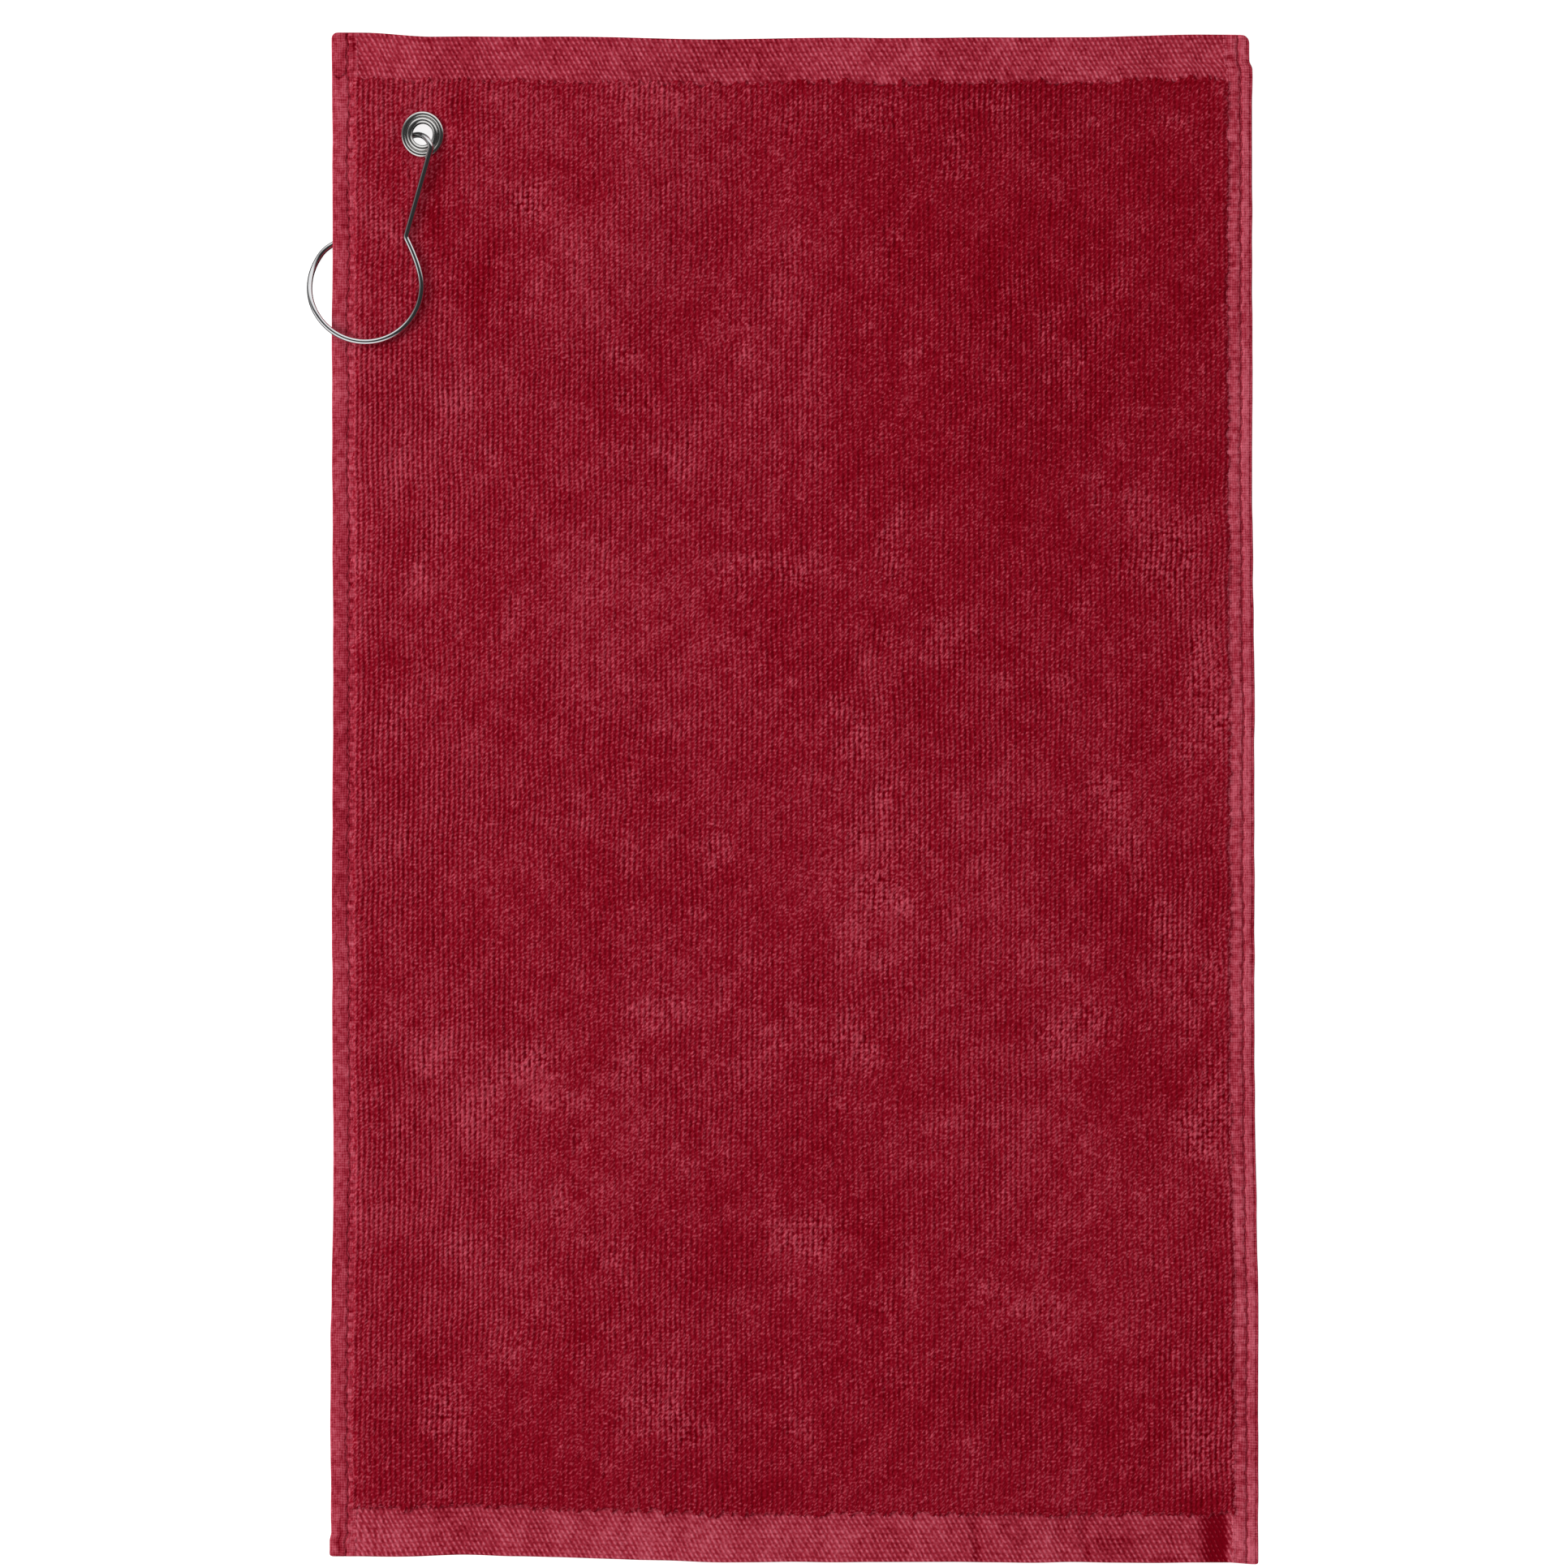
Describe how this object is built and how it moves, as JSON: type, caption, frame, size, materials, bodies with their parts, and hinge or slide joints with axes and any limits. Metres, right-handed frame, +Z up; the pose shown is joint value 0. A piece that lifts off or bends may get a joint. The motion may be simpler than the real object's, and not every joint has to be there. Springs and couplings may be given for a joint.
{
  "type": "golf towel",
  "caption": "Flat rectangular velour terry towel with sewn hems, a metal grommet in one corner, and a pear-shaped wire clip that swings in the grommet and passes round the towel's edge.",
  "frame": {"origin": "on the table under the middle of the cloth, on the flat underside of the terry panel", "axes": "+X across the towel to the right as seen from its pile face, +Y along the towel towards the grommet end, +Z up out of the pile face"},
  "size_m": [0.285, 0.458, 0.0074],
  "materials": {
    "pile": "sheared velour pile, matt with a soft sheen",
    "border": "flat steep twill weave",
    "hem": "fine plain weave, folded and sewn",
    "thread": "spun sewing thread",
    "nickel": "polished nickel plate",
    "steel": "bright plated spring wire"
  },
  "bodies": {
    "towel": {"terry_panel": "pile", "left_hem": "hem", "right_hem": "hem", "top_border": "border", "bottom_border": "border", "left_needle_thread": "thread", "right_needle_thread": "thread", "top_needle_thread": "thread", "bottom_needle_thread": "thread", "left_bobbin_thread": "thread", "right_bobbin_thread": "thread", "top_bobbin_thread": "thread", "bottom_bobbin_thread": "thread", "grommet_eyelet": "nickel", "grommet_washer": "nickel"},
    "clip": {"wire_clip": "steel"}
  },
  "joints": [
    {"name": "clip_swing", "type": "hinge", "parent": "towel", "child": "clip", "pos_m": [-0.1112, 0.1989, 0.004], "axis": [0, 0, 1], "range_deg": [-190, 4]}
  ]
}
